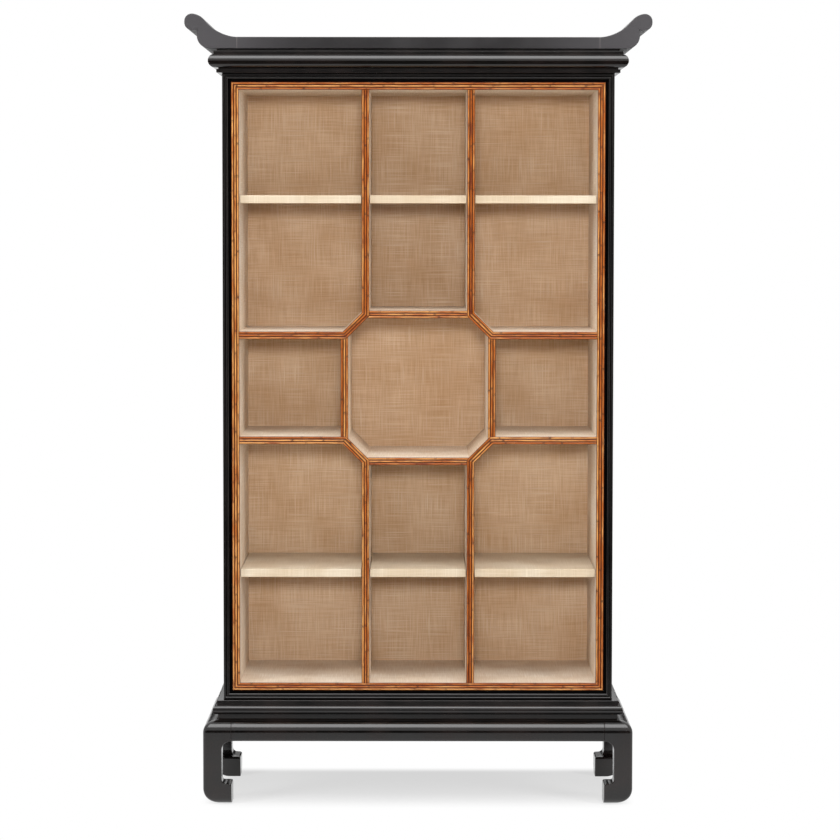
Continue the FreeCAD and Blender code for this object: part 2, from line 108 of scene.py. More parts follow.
def black_lacquer(name, deep, dusty, sheen_low, sheen_high, painted_shade_behind=None, seam=None, ends=None):
    """Sprayed lacquer: near black with a faint brown cast, clear reflections, slight orange peel.

    Dust dulls it in patches about a hand wide and edges are worn a little browner. Behind a given depth it
    is painted near black and barely reflects, as painted shade in the recesses. At the distance given as
    seam a pale hairline is painted as a highlight, and beyond half of that it is painted paler towards the
    colour given as ends, as painted light.
    """
    patch_size = 0.09
    peel_size = 0.004
    worn_edge = 0.0012
    painted_shade_fade = 0.002
    joint_highlight_width = 0.001
    gleam, painted_shade_gleam = 0.58, 0.08
    smooth = {"interpolation_type": "SMOOTHSTEP"}
    material, tree = new_finish(name)
    place = put(tree, "TexCoord", output="Object")
    patch = put(tree, "TexNoise", {"Vector": place, "Scale": 1 / patch_size, "Detail": 4})
    peel = put(tree, "TexNoise", {"Vector": place, "Scale": 1 / peel_size, "Detail": 2})
    round_edge = put(tree, "Bevel", {"Radius": worn_edge}, samples=4)
    flat = put(tree, "NewGeometry", output="Normal")
    lean = put(tree, "VectorMath", {0: round_edge, 1: flat}, "Value", operation="DOT_PRODUCT")
    dust = put(tree, "MapRange", {0: patch, 1: 0.35, 2: 0.7}, **smooth)
    wear = put(tree, "MapRange", {0: lean, 1: 0.97, 2: 0.75}, **smooth)
    sheen = put(tree, "MapRange", {0: patch, 1: 0.3, 2: 0.7, 3: sheen_low, 4: sheen_high}, **smooth)
    colour = put(tree, "Mix", {0: dust, 6: deep, 7: dusty}, 2, data_type="RGBA")
    colour = put(tree, "Mix", {0: wear, 6: colour, 7: "#3A2C26"}, 2, data_type="RGBA")
    # Painted shade: deeper than the given depth the colour goes near black and the reflection is cut.
    if painted_shade_behind is not None:
        depth = put(tree, "SeparateXYZ", {0: place}, "Y")
        painted_shade = put(tree, "MapRange", {0: depth, 1: painted_shade_behind, 2: painted_shade_behind + painted_shade_fade}, **smooth)
        colour = put(tree, "Mix", {0: painted_shade, 6: colour, 7: "#050404"}, 2, data_type="RGBA")
        sockets = {0: depth, 1: painted_shade_behind, 2: painted_shade_behind + painted_shade_fade, 3: gleam, 4: painted_shade_gleam}
        gleam = put(tree, "MapRange", sockets, **smooth)
    # Painted highlight: a pale hairline at the seam. Painted light: paler lacquer beyond half the seam
    # distance, towards the ends colour.
    if seam is not None:
        across = put(tree, "SeparateXYZ", {0: place}, "X")
        aside = put(tree, "Math", {0: across}, operation="ABSOLUTE")
        painted_paler_ends = put(tree, "MapRange", {0: aside, 1: seam / 2, 2: seam * 1.2}, **smooth)
        colour = put(tree, "Mix", {0: painted_paler_ends, 6: colour, 7: ends}, 2, data_type="RGBA")
        line = put(tree, "Math", {0: aside, 1: seam, 2: joint_highlight_width}, operation="COMPARE")
        colour = put(tree, "Mix", {0: line, 6: colour, 7: "#5E5A58"}, 2, data_type="RGBA")
    shader = put(tree, "BsdfPrincipled", {
        "Base Color": colour,
        "Roughness": sheen,
        "Specular IOR Level": gleam,
        "Normal": put(tree, "Bump", {"Strength": 0.03, "Distance": 0.0003, "Height": peel}),
    })
    put(tree, "OutputMaterial", {"Surface": shader})
    return material


def rounded(shape, parts, rounding, kind, steps=24):
    """Rounds vertices or edges, as kind says."""
    bmesh.ops.bevel(
        shape, geom=parts, offset=rounding, offset_type="OFFSET", affect=kind,
        segments=steps, profile=0.5, material=-1,
    )


def leg_shape():
    """A leg with its outer corner at the origin, drawn up ring by ring from the sole.

    Each ring of edges stays crisp, so that every narrow band between two rings is shaded by itself.
    """
    leg = bmesh.new()
    bmesh.ops.create_grid(leg, x_segments=1, y_segments=1, size=foot / 2)
    bmesh.ops.translate(leg, verts=leg.verts[:], vec=(foot / 2, foot / 2, 0))
    for corner in leg.verts[:]:
        outermost = corner.co.x + corner.co.y < foot / 2
        rounded(leg, [corner], leg_corner_round if outermost else leg_edge_round, "VERTICES")
    home = leg.verts.layers.float_vector.new("home")
    for vert in leg.verts:
        vert[home] = vert.co
    rings = 24
    angles = [k * math.pi / 2 / rings for k in range(rings + 1)]
    quarter = [(math.sin(angle), math.cos(angle)) for angle in angles]
    levels = []
    for s, c in quarter:
        z = heel_round * (1 - c)
        above = max(toe_round - z, 0)
        levels.append((z, heel_round * (1 - s), toe_round - math.sqrt(toe_round ** 2 - above ** 2), foot))
    for s, c in quarter:
        inner = foot - toe_edge_round * (1 - c)
        levels.append((hoof_height - ring_step - toe_edge_round * (1 - s), 0, 0, inner))
    for s, c in quarter:
        levels.append((hoof_height + ankle_round * (1 - c), 0, 0, post + ankle_round * (1 - s)))
    for s, c in quarter:
        levels.append((rail_bottom - ring_step - knee_round * (1 - s), 0, 0, post + knee_round * (1 - c)))
    levels.append((rail_bottom, 0, 0, foot))
    for s, c in quarter:
        inset = shoulder_round * (1 - c)
        levels.append((stand_height - shoulder_round * (1 - s), inset, inset, foot))
    leg.faces.ensure_lookup_table()
    tip = leg.faces[0]
    for z, outer_x, outer_y, inner in levels:
        if z > 0:
            grown = bmesh.ops.extrude_face_region(leg, geom=[tip, *tip.edges])["geom"]
            tip = [part for part in grown if isinstance(part, bmesh.types.BMFace)][0]
            for edge in tip.edges:
                edge.smooth = False
        for vert in tip.verts:
            x, y, ground = vert[home]
            vert.co.x = x + (outer_x if x < foot / 2 else inner - foot)
            vert.co.y = y + (outer_y if y < foot / 2 else inner - foot)
            vert.co.z = z
    return leg


def piece(name, shape, material, body, slot, *replaced):
    """An object from a finished mesh, smooth over its roundings, which rides in place of CAD nodes."""
    sharpest_rounding = math.radians(35)
    bmesh.ops.recalc_face_normals(shape, faces=shape.faces[:])
    for face in shape.faces:
        face.smooth = True
    for edge in shape.edges:
        if edge.calc_face_angle(0) >= sharpest_rounding:
            edge.smooth = False
    mesh = bpy.data.meshes.new(name)
    shape.to_mesh(mesh)
    shape.free()
    mesh.materials.append(material)
    made = bpy.data.objects.new(name, mesh)
    bpy.context.scene.collection.objects.link(made)
    made.modifiers.new("flat faces stay flat", "WEIGHTED_NORMAL").keep_sharp = True
    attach(made, body)
    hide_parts(*replaced)


gloss_lacquer = black_lacquer("polished black lacquer", "#0A0807", "#17100E", 0.13, 0.2)
for row, depth in (("front", 1), ("rear", -1)):
    for side, hand in (("left", 1), ("right", -1)):
        leg = leg_shape()
        bmesh.ops.translate(leg, verts=leg.verts[:], vec=(leg_low.x, leg_low.y, 0))
        bmesh.ops.scale(leg, verts=leg.verts[:], vec=(hand, depth, 1))
        name = f"leg_{row}_{side}"
        piece(name, leg, gloss_lacquer, "cabinet", "black_lacquer", f"stand_{name}")

# Stand rails. Hardwood with a broad rounded shoulder along the top, tenoned into the leg heads with their
# faces flush, and lacquered with the legs.
rail_thickness = 0.060
rail_lower_round = 0.007
up = Vector((0, 0, 1))


def bar(section, origin, first, second, along):
    """A bar whose section is a list of (first, second, rounding) corners, drawn out along a vector.

    Roundings are a hair short, so that two on one side never run into each other.
    """
    hair_short = 0.999
    shape = bmesh.new()
    corners = [shape.verts.new(origin + first * a + second * b) for a, b, rounding in section]
    shape.faces.new(corners)
    for corner, (a, b, rounding) in zip(corners, section):
        if rounding:
            before, after = [edge.other_vert(corner).co - corner.co for edge in corner.link_edges]
            cut_back = rounding / math.tan(before.angle(after) / 2)
            rounded(shape, [corner], hair_short * cut_back, "VERTICES")
    grown = bmesh.ops.extrude_face_region(shape, geom=shape.faces[:])["geom"]
    far = [part for part in grown if isinstance(part, bmesh.types.BMVert)]
    bmesh.ops.translate(shape, verts=far, vec=along)
    bmesh.ops.recalc_face_normals(shape, faces=shape.faces[:])
    return shape


rail_section = [
    (0, rail_bottom, rail_lower_round),
    (0, stand_height, shoulder_round),
    (rail_thickness, stand_height, 0),
    (rail_thickness, rail_bottom, 0),
]
for side, out_x, out_y in (("front", 0, -1), ("rear", 0, 1), ("left", -1, 0), ("right", 1, 0)):
    outwards = Vector((out_x, out_y, 0))
    along = outwards.cross(up)
    half_run = Vector((abs(along.x) * (leg_low.x + foot), abs(along.y) * (leg_low.y + foot), 0)).length
    reach = abs(out_x * leg_low.x + out_y * leg_low.y)
    start = outwards * reach - along * half_run
    rail = bar(rail_section, start, -outwards, up, along * (2 * half_run))
    piece(f"rail_{side}", rail, gloss_lacquer, "cabinet", "black_lacquer", f"stand_rail_{side}")

# Corner blocks. Planed beech left bare, one glued into each corner of the rail frame, where the screws that
# hold the waist down go through them.


def plain_beech():
    """Planed beech left bare: pale pinkish brown with short dark flecks along the grain."""
    fleck_length, fleck_width = 0.03, 0.002
    material, tree = new_finish("planed beech")
    place = put(tree, "TexCoord", output="Object")
    size = (1 / fleck_length, 1 / fleck_width, 1 / fleck_width)
    grain = put(tree, "Mapping", {"Vector": place, "Scale": size})
    fleck = put(tree, "TexNoise", {"Vector": grain, "Scale": 1, "Detail": 3})
    share = put(tree, "MapRange", {0: fleck, 1: 0.35, 2: 0.7}, interpolation_type="SMOOTHSTEP")
    shader = put(tree, "BsdfPrincipled", {
        "Base Color": put(tree, "Mix", {0: share, 6: "#D9B48A", 7: "#A97C50"}, 2, data_type="RGBA"),
        "Roughness": 0.6,
        "Normal": put(tree, "Bump", {"Strength": 0.1, "Distance": 0.0003, "Height": fleck}),
    })
    put(tree, "OutputMaterial", {"Surface": shader})
    return material


def dress(material, *names):
    """Gives CAD nodes a finish."""
    for name in names:
        for place in nodes[name].material_slots:
            place.material = material


beech = plain_beech()
dress(beech, "stand_corner_blocks")

# Waist. A stepped moulding with a half-round bead, mitred at the front corners and closed by a plain rail at
# the back. It is lacquered hardwood, screwed down on the stand.
case_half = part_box("case_side_right")[1].x
case_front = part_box("face_rail_top")[0].y
waist_low, waist_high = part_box("waist_moulding_front")
moulding_depth = 0.045
step_edge_round = 0.0015
lower_step_reach, lower_step_height = 0.014, 0.0145
bead_reach, bead_height = 0.028, 0.025
upper_step_reach = 0.017
on_plane = 0.000001


def saw(shape, point, outwards):
    """Takes off what lies beyond a plane and closes the cut."""
    parts = shape.verts[:] + shape.edges[:] + shape.faces[:]
    bmesh.ops.bisect_plane(
        shape, geom=parts, plane_co=point, plane_no=outwards, dist=on_plane, clear_outer=True
    )
    bmesh.ops.holes_fill(shape, edges=[edge for edge in shape.edges if edge.is_boundary])


def mouldings(section, reach, rear, group, node):
    """Front, left and right runs of a section of (out, height, rounding) corners round the case."""
    front = Vector((0, -1, 0))
    half_run = case_half + reach
    run = bar(section, Vector((-half_run, case_front, 0)), front, up, Vector((2 * half_run, 0, 0)))
    for hand in (-1, 1):
        saw(run, (hand * case_half, case_front, 0), Vector((hand, 1, 0)))
    piece(f"{group}_front", run, gloss_lacquer, "cabinet", "black_lacquer", f"{node}_front")
    for side, hand in (("left", -1), ("right", 1)):
        start = Vector((hand * case_half, case_front - reach, 0))
        run = bar(section, start, Vector((hand, 0, 0)), up, Vector((0, rear - start.y, 0)))
        saw(run, (hand * case_half, case_front, 0), Vector((-hand, -1, 0)))
        piece(f"{group}_{side}", run, gloss_lacquer, "cabinet", "black_lacquer", f"{node}_{side}")


bead_bottom = waist_low.z + lower_step_height
bead_top = bead_bottom + bead_height
waist_section = [
    (-moulding_depth, waist_low.z, 0),
    (lower_step_reach, waist_low.z, 0),
    (lower_step_reach, bead_bottom, 0),
    (bead_reach, bead_bottom, bead_height / 2),
    (bead_reach, bead_top, bead_height / 2),
    (upper_step_reach, bead_top, 0),
    (upper_step_reach, waist_high.z, step_edge_round),
    (-moulding_depth, waist_high.z, 0),
]
mouldings(waist_section, bead_reach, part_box("waist_moulding_left")[1].y, "waist", "waist_moulding")
dress(gloss_lacquer, "waist_rail_rear")

# Case. Two sides with top and bottom tongued between them, of board lacquered as the stand is.
# A mitred face frame with two reeds is glued on the front. More than 1.5 mm behind the crests of the reeds
# the lacquer is painted near black and barely reflects, as painted shade in the hollows of the face frame.
dress(gloss_lacquer, "case_side_left", "case_side_right", "case_top", "case_bottom")
face_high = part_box("face_stile_left")[1]
case_bottom, case_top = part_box("face_stile_left")[0].z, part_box("face_stile_left")[1].z
face_width = face_high.x + case_half
face_thickness = face_high.y - case_front
reed_width = 0.007
reed_gap = 0.002
reed_depth = 0.003
face_recess = 0.009
painted_shade_depth = 0.0015
second_reed = reed_width + reed_gap
reeds_end = second_reed + reed_width
face_section = [
    (0, face_thickness, 0),
    (0, 0, reed_width / 2),
    (reed_width, 0, reed_width / 2),
    (reed_width, reed_depth, 0),
    (second_reed, reed_depth, 0),
    (second_reed, 0, reed_width / 2),
    (reeds_end, 0, reed_width / 2),
    (reeds_end, face_recess, 0),
    (face_width, face_recess, 0),
    (face_width, face_thickness, 0),
]
inwards = Vector((0, 1, 0))
# Painted shade: beyond this depth the lacquer of the face frame is painted near black.
painted_shade_from = case_front + painted_shade_depth
reed_lacquer = black_lacquer("lacquer on reeds", "#0A0807", "#14100E", 0.13, 0.2, painted_shade_behind=painted_shade_from)
face_corners = [
    Vector((-case_half, case_front, case_bottom)),
    Vector((-case_half, case_front, case_top)),
    Vector((case_half, case_front, case_top)),
    Vector((case_half, case_front, case_bottom)),
]
for k, name in enumerate(("stile_left", "rail_top", "stile_right", "rail_bottom")):
    start, end = face_corners[k], face_corners[(k + 1) % 4]
    along = (end - start).normalized()
    into = inwards.cross(along)
    strip = bar(face_section, start, into, inwards, end - start)
    saw(strip, start, -along + into)
    saw(strip, end, along + into)
    piece(f"reeded_{name}", strip, reed_lacquer, "cabinet", "black_lacquer", f"face_{name}")

# Back panel, linings and dividers. Boards wrapped in plain-woven raffia cloth, glued on with its threads
# square to the edges. The back of the panel is stained black. The one cloth is drawn in lit and shaded
# copies: paler on walls and floors as painted light, tan on ceilings and slanted boards and deeper on the
# back panel as painted shade.
upright = (-math.pi / 2, 0, 0)
endwise = (-math.pi / 2, -math.pi / 2, 0)
level = (0, 0, 0)
tilted = (math.pi / 4, 0, 0)
rising = (0, math.pi / 4, 0)
falling = (0, -math.pi / 4, 0)


def woven_cloth(name, turn, dark, middle, light, stained_behind=None, painted_shade_beneath=None):
    """Raffia cloth: flat dry strands of uneven tan, some of them paler and thicker than the rest.

    Strands are about 1 mm apart; they are drawn at 2 mm, because finer ones would not show. Behind the
    depth given as stained_behind it is black. On faces that point down it is multiplied by a given tint,
    as painted shade on the undersides.
    """
    strand = 0.002
    drift_size = 0.12
    smooth = {"interpolation_type": "SMOOTHSTEP"}
    material, tree = new_finish(name)
    place = put(tree, "TexCoord", output="Object")
    cloth = put(tree, "Mapping", {"Vector": place, "Rotation": turn})

    def strands(length, crossing, detail):
        """Noise drawn out along the warp, or along the weft that crosses it."""
        size = (1 / length, 1 / strand, 0) if crossing else (1 / strand, 1 / length, 0)
        spaced = put(tree, "Mapping", {"Vector": cloth, "Scale": size})
        sockets = {"Vector": spaced, "Scale": 1, "Detail": detail}
        return put(tree, "TexNoise", sockets, noise_dimensions="2D")

    warp = strands(length=0.08, crossing=False, detail=1)
    weft = strands(length=0.10, crossing=True, detail=1)
    thick_warp = strands(length=0.12, crossing=False, detail=0)
    thick_weft = strands(length=0.14, crossing=True, detail=0)
    thick_warp = put(tree, "MapRange", {0: thick_warp, 1: 0.68, 2: 0.80}, **smooth)
    thick_weft = put(tree, "MapRange", {0: thick_weft, 1: 0.70, 2: 0.82}, **smooth)
    thick = put(tree, "Math", {0: thick_warp, 1: thick_weft}, operation="MAXIMUM")
    thick = put(tree, "Math", {0: thick, 1: 0.5}, operation="MULTIPLY")
    web = put(tree, "Math", {0: warp, 1: weft}, operation="ADD")
    pale = put(tree, "MapRange", {0: web, 1: 0.72, 2: 1.28}, **smooth)
    drift = put(tree, "TexNoise", {"Vector": cloth, "Scale": 1 / drift_size, "Detail": 2})
    drift = put(tree, "MapRange", {0: drift, 1: 0.3, 2: 0.7}, **smooth)
    tone = put(tree, "Mix", {0: drift, 6: "#F1EAE2", 7: "#FFFFFF"}, 2, data_type="RGBA")
    colour = put(tree, "Mix", {0: pale, 6: dark, 7: middle}, 2, data_type="RGBA")
    colour = put(tree, "Mix", {0: thick, 6: colour, 7: light}, 2, data_type="RGBA")
    sockets = {0: 1.0, 6: colour, 7: tone}
    colour = put(tree, "Mix", sockets, 2, data_type="RGBA", blend_type="MULTIPLY")
    if stained_behind is not None:
        depth = put(tree, "SeparateXYZ", {0: place}, "Y")
        behind = put(tree, "Math", {0: depth, 1: stained_behind}, operation="GREATER_THAN")
        colour = put(tree, "Mix", {0: behind, 6: colour, 7: "#1B1817"}, 2, data_type="RGBA")
    # Painted shade: faces that point down are multiplied by the given tint, darkening the undersides.
    if painted_shade_beneath is not None:
        facing = put(tree, "NewGeometry", output="Normal")
        rise = put(tree, "SeparateXYZ", {0: facing}, "Z")
        down = put(tree, "MapRange", {0: rise, 1: -0.5, 2: -0.9}, **smooth)
        sockets = {0: down, 6: colour, 7: painted_shade_beneath}
        colour = put(tree, "Mix", sockets, 2, data_type="RGBA", blend_type="MULTIPLY")
    height = put(tree, "Math", {0: web, 1: thick}, operation="ADD")
    shader = put(tree, "BsdfPrincipled", {
        "Base Color": colour,
        "Roughness": 0.82,
        "Specular IOR Level": 0.25,
        "Sheen Weight": 0.08,
        "Normal": put(tree, "Bump", {"Strength": 0.35, "Distance": 0.0006, "Height": height}),
    })
    put(tree, "OutputMaterial", {"Surface": shader})
    return material


back_low, back_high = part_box("back_panel")
panel_middle = (back_low.y + back_high.y) / 2
# Painted light and shade: the one cloth is paler where it faces the light and deeper where it is shaded.
shaded_back_panel_cloth = ("#D0AF8E", "#E0C5A7", "#EBDBC6")
shaded_cloth = ("#D2BDA4", "#E2D2BF", "#EBE2D4")
lit_cloth = ("#DFCDB7", "#EBDDCB", "#F1E8DC")
dress(woven_cloth("raffia cloth on the back panel", upright, *shaded_back_panel_cloth, panel_middle), "back_panel")
wall_cloth = woven_cloth("raffia cloth on walls", endwise, *lit_cloth)
floor_cloth = woven_cloth("raffia cloth on floors", level, *lit_cloth)
ceiling_cloth = woven_cloth("raffia cloth on ceilings", level, *shaded_cloth)
rising_cloth = woven_cloth("raffia cloth on rising boards", rising, *shaded_cloth)
falling_cloth = woven_cloth("raffia cloth on falling boards", falling, *shaded_cloth)
dress(wall_cloth, "lining_left", "lining_right", "octagon_left", "octagon_right")
dress(floor_cloth, "lining_floor", "octagon_bottom")
dress(ceiling_cloth, "lining_ceiling", "octagon_top")
for row in ("upper", "lower"):
    for side in ("left", "right"):
        dress(wall_cloth, f"upright_{row}_{side}")
        dress(floor_cloth, f"crossbar_{row}_{side}")
dress(rising_cloth, "octagon_corner_upper_left", "octagon_corner_lower_right")
dress(falling_cloth, "octagon_corner_upper_right", "octagon_corner_lower_left")

# Dowels. Turned beech pins glued into the joints between the octagon boards and their neighbours, where
# they are out of sight.
dress(beech, "octagon_dowels")

# Canes. Split rattan, half round, glued three side by side on every front edge of lining and dividers,
# mitred where a run turns and butted where it meets another. Rings mark where leaves once grew.
cane_width = (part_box("upright_upper_left")[1].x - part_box("upright_upper_left")[0].x) / 3
board_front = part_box("upright_upper_left")[0].y
station_gap = 0.03
first_joint, joint_gap = (0.01, 0.1), (0.05, 0.14)
ring_reach, ring_strength = 0.006, (0.4, 1.0)
ring_profile = ((0.005, 0, 0), (0.0028, 0.06, 0.7), (0.0013, 0.09, 1), (0, -0.04, 1))
unevenness, uneven_length = 0.03, 0.04
draw = random.Random(7)


def split_rattan():
    """Varnished split rattan: golden to red-brown along each cane, dark streaks and rings.

    Its flanks and edges are painted darker, as painted shade where the canes meet.
    """
    smooth = {"interpolation_type": "SMOOTHSTEP"}
    material, tree = new_finish("varnished rattan")
    run, turn, ring, tone = [
        put(tree, "Attribute", output="Fac", attribute_name=name)
        for name in ("cane_run", "cane_turn", "cane_ring", "cane_tone")
    ]

    def streaks(length, across):
        """Noise drawn out along the cane, with some streaks across its half circle."""
        part = put(tree, "CombineXYZ", {0: run, 1: turn})
        spaced = put(tree, "Mapping", {"Vector": part, "Scale": (1 / length, across, 0)})
        sockets = {"Vector": spaced, "Scale": 1, "Detail": 3}
        return put(tree, "TexNoise", sockets, noise_dimensions="2D")

    slow = streaks(length=0.07, across=0.3)
    fibre = streaks(length=0.04, across=4.0)
    patchy = streaks(length=0.004, across=3.0)
    shade = put(tree, "Math", {0: slow, 1: tone}, operation="ADD")
    side = put(tree, "Math", {0: turn, 1: 0.5}, operation="SUBTRACT")
    side = put(tree, "Math", {0: side}, operation="ABSOLUTE")
    worn_ring = put(tree, "MapRange", {0: patchy, 1: 0.35, 2: 0.6, 3: 0.3, 4: 0.9}, **smooth)
    tan = put(tree, "MapRange", {0: shade, 1: 0.45, 2: 0.95}, **smooth)
    brown = put(tree, "MapRange", {0: shade, 1: 0.95, 2: 1.35}, **smooth)
    streak = put(tree, "MapRange", {0: fibre, 1: 0.5, 2: 0.7, 3: 0.0, 4: 0.7}, **smooth)
    # Painted shade: the flanks and edges of each cane are darkened where the canes meet.
    painted_flank_shade = put(tree, "MapRange", {0: side, 1: 0.1, 2: 0.3, 3: 0.0, 4: 0.8}, **smooth)
    edge = put(tree, "MapRange", {0: side, 1: 0.12, 2: 0.27}, **smooth)
    mark = put(tree, "Math", {0: ring, 1: worn_ring}, operation="MULTIPLY")
    colour = "#CC9252"
    for share, darker in (
        (tan, "#A4581C"), (brown, "#642A10"), (streak, "#5E2810"),
        (painted_flank_shade, "#742C08"), (edge, "#581A04"), (mark, "#3C1808"),
    ):
        colour = put(tree, "Mix", {0: share, 6: colour, 7: darker}, 2, data_type="RGBA")
    shader = put(tree, "BsdfPrincipled", {
        "Base Color": colour,
        "Roughness": put(tree, "MapRange", {0: fibre, 1: 0.3, 2: 0.8, 3: 0.32, 4: 0.5}, **smooth),
        "Specular IOR Level": 0.35,
        "Coat Weight": 0.08,
        "Coat Roughness": 0.2,
        "Normal": put(tree, "Bump", {"Strength": 0.25, "Distance": 0.0004, "Height": fibre}),
    })
    put(tree, "OutputMaterial", {"Surface": shader})
    return material


def add_cane(band, start, end, cuts, tone):
    """One half-round cane, extruded ring by ring along its line and cut off by (point, outwards) planes.

    Round each joint, ring_profile gives the swell and the darkness at some distances from it.
    """
    along = (end - start).normalized()
    length = (end - start).length
    radius = 0.5 * cane_width
    joints = []
    reach = draw.uniform(*first_joint)
    while reach < length - ring_reach:
        joints.append(reach)
        reach += draw.uniform(*joint_gap)
    stations = {}
    for k in range(1, int(length / station_gap)):
        if all(abs(k * station_gap - joint) > ring_reach for joint in joints):
            stations[k * station_gap] = (0.0, 0.0)
    for joint in joints:
        mark = draw.uniform(*ring_strength)
        for away, swell, dark in ring_profile:
            for place in (joint - away, joint + away):
                stations[place] = (swell, dark * mark)
    stations[length] = (0.0, 0.0)
    cane = bmesh.new()
    run, turn, ring, shade = [
        cane.verts.layers.float.new(name) for name in ("cane_run", "cane_turn", "cane_ring", "cane_tone")
    ]
    bmesh.ops.create_circle(cane, cap_ends=True, segments=16, radius=radius)
    shape = cane.verts[:] + cane.edges[:] + cane.faces[:]
    bmesh.ops.bisect_plane(
        cane, geom=shape, plane_co=(0, 0, 0), plane_no=(0, 1, 0), dist=on_plane, clear_outer=True
    )
    seed = draw.uniform(0, 100)
    for vert in cane.verts:
        vert[turn] = math.atan2(-vert.co.y, vert.co.x) / math.pi
        vert[run] = seed
        vert[shade] = tone
    cane.faces.ensure_lookup_table()
    tip = cane.faces[0]
    reached = 0.0
    size = 1.0
    for station, (swell, dark) in sorted(stations.items()):
        grown = bmesh.ops.extrude_face_region(cane, geom=[tip, *tip.edges])["geom"]
        tip = [part for part in grown if isinstance(part, bmesh.types.BMFace)][0]
        for edge in tip.edges:
            edge.smooth = False
        bmesh.ops.translate(cane, verts=tip.verts[:], vec=(0, 0, station - reached))
        wanted = 1 + swell + unevenness * noise.noise((station / uneven_length, seed, 0))
        bmesh.ops.scale(cane, verts=tip.verts[:], vec=(wanted / size, wanted / size, 1))
        for vert in tip.verts:
            vert[run] = seed + station
            vert[ring] = dark
        reached = station
        size = wanted
    across = Vector((0, 1, 0)).cross(along)
    to_place = Matrix((across, (0, 1, 0), along)).transposed().to_4x4()
    bmesh.ops.transform(cane, verts=cane.verts[:], matrix=Matrix.Translation(start) @ to_place)
    for point, outwards in cuts:
        saw(cane, point, outwards)
    bmesh.ops.recalc_face_normals(cane, faces=cane.faces[:])
    part = bpy.data.meshes.new("cane")
    cane.to_mesh(part)
    cane.free()
    band.from_mesh(part)
    bpy.data.meshes.remove(part)


def add_canes(band, start, end, cuts, tones, inner_cuts=None):
    """Three canes side by side along a board's front edge, the inner one with its own cuts if given."""
    along = (end - start).normalized()
    across = Vector((0, 1, 0)).cross(along)
    over = 2 * cane_width
    for k in (-1, 0, 1):
        shift = across * (k * cane_width)
        own_cuts = inner_cuts if k == 1 and inner_cuts else cuts
        shade = draw.uniform(*tones)
        add_cane(band, start - along * over + shift, end + along * over + shift, own_cuts, shade)


def spot(x, z):
    """A point on the front edges of the boards."""
    return Vector((x, board_front, z))


rattan = split_rattan()
golden = (0.0, 0.45)
mixed_tones = (0.0, 0.5)
ruddy = (0.1, 0.6)
frame_low, frame_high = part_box("frame_canes")
half_board = 1.5 * cane_width
left, right = frame_low.x + half_board, frame_high.x - half_board
bottom, top = frame_low.z + half_board, frame_high.z - half_board
corners = [spot(left, bottom), spot(left, top), spot(right, top), spot(right, bottom)]
frame_band = bmesh.new()
for k in range(4):
    start, end = corners[k], corners[(k + 1) % 4]
    along = (end - start).normalized()
    into = along.cross(inwards)
    add_canes(frame_band, start, end, [(start, -along - into), (end, along - into)], golden)
piece("perimeter_canes", frame_band, rattan, "cabinet", "rattan_cane", "frame_canes")

bay_left, bay_right = left + half_board, right - half_board
bay_floor, bay_ceiling = bottom + half_board, top - half_board
middle = (bay_floor + bay_ceiling) / 2
upright_low, upright_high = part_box("upright_upper_right")
upright_x = (upright_low.x + upright_high.x) / 2
flat_low, flat_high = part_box("octagon_top")
flat_z = (flat_low.z + flat_high.z) / 2 - middle
divider_band = bmesh.new()
for rise, tones in ((1, ruddy), (-1, mixed_tones)):
    for hand in (1, -1):
        ends = [
            spot(hand * upright_x, bay_ceiling if rise > 0 else bay_floor),
            spot(hand * upright_x, middle + rise * flat_z),
            spot(hand * flat_z, middle + rise * upright_x),
            spot(bay_right if hand > 0 else bay_left, middle + rise * upright_x),
        ]
        steps = [(b - a).normalized() for a, b in zip(ends, ends[1:])]
        turns = [steps[0], *[(a + b).normalized() for a, b in zip(steps, steps[1:])], steps[-1]]
        for a, b, turn_a, turn_b in zip(ends, ends[1:], turns, turns[1:]):
            add_canes(divider_band, a, b, [(a, -turn_a), (b, turn_b)], tones)
inside = upright_x - half_board
turn_z = flat_z - half_board * math.tan(math.pi / 8)
for outwards, along in (((0, 1), (1, 0)), ((-1, 0), (0, 1)), ((0, -1), (-1, 0)), ((1, 0), (0, -1))):
    out = Vector((outwards[0], 0, outwards[1]))
    run = Vector((along[0], 0, along[1]))
    heart = spot(0, middle) + out * flat_z
    ends = [heart - run * inside, heart + run * inside]
    corner_cuts = []
    for sign in (-1, 1):
        corner_cuts.append((spot(0, middle) + run * (sign * inside) + out * turn_z, run * sign + out))
    add_canes(divider_band, ends[0], ends[1], [(ends[0], -run), (ends[1], run)], mixed_tones, corner_cuts)
piece("divider_edge_canes", divider_band, rattan, "cabinet", "rattan_cane", "divider_canes")

# Shelves. Loose boards wrapped in a paler, closer raffia cloth, whose undersides are browner as painted
# shade. Grooves in their ends slide over zinc-plated steel pegs set in the walls of the bays.
pale_cloth = woven_cloth("pale raffia cloth", tilted, "#CDBEA6", "#D4C6B0", "#DDD1BE", painted_shade_beneath="#CDB494")
for row in ("upper", "lower"):
    for bay in ("left", "centre", "right"):
        dress(pale_cloth, f"shelf_{row}_{bay}")


def plated_steel():
    """Zinc-plated steel: pale bluish grey metal with fine turning marks."""
    mark_size = 0.001
    material, tree = new_finish("zinc-plated steel")
    place = put(tree, "TexCoord", output="Object")
    mark = put(tree, "TexNoise", {"Vector": place, "Scale": 1 / mark_size, "Detail": 2})
    sockets = {0: mark, 1: 0.3, 2: 0.7, 3: 0.28, 4: 0.42}
    shader = put(tree, "BsdfPrincipled", {
        "Base Color": put(tree, "Mix", {0: mark, 6: "#A9ABAD", 7: "#C6C7C8"}, 2, data_type="RGBA"),
        "Metallic": 1.0,
        "Roughness": put(tree, "MapRange", sockets, interpolation_type="SMOOTHSTEP"),
    })
    put(tree, "OutputMaterial", {"Surface": shader})
    return material


zinc = plated_steel()
dress(zinc, "shelf_pegs")

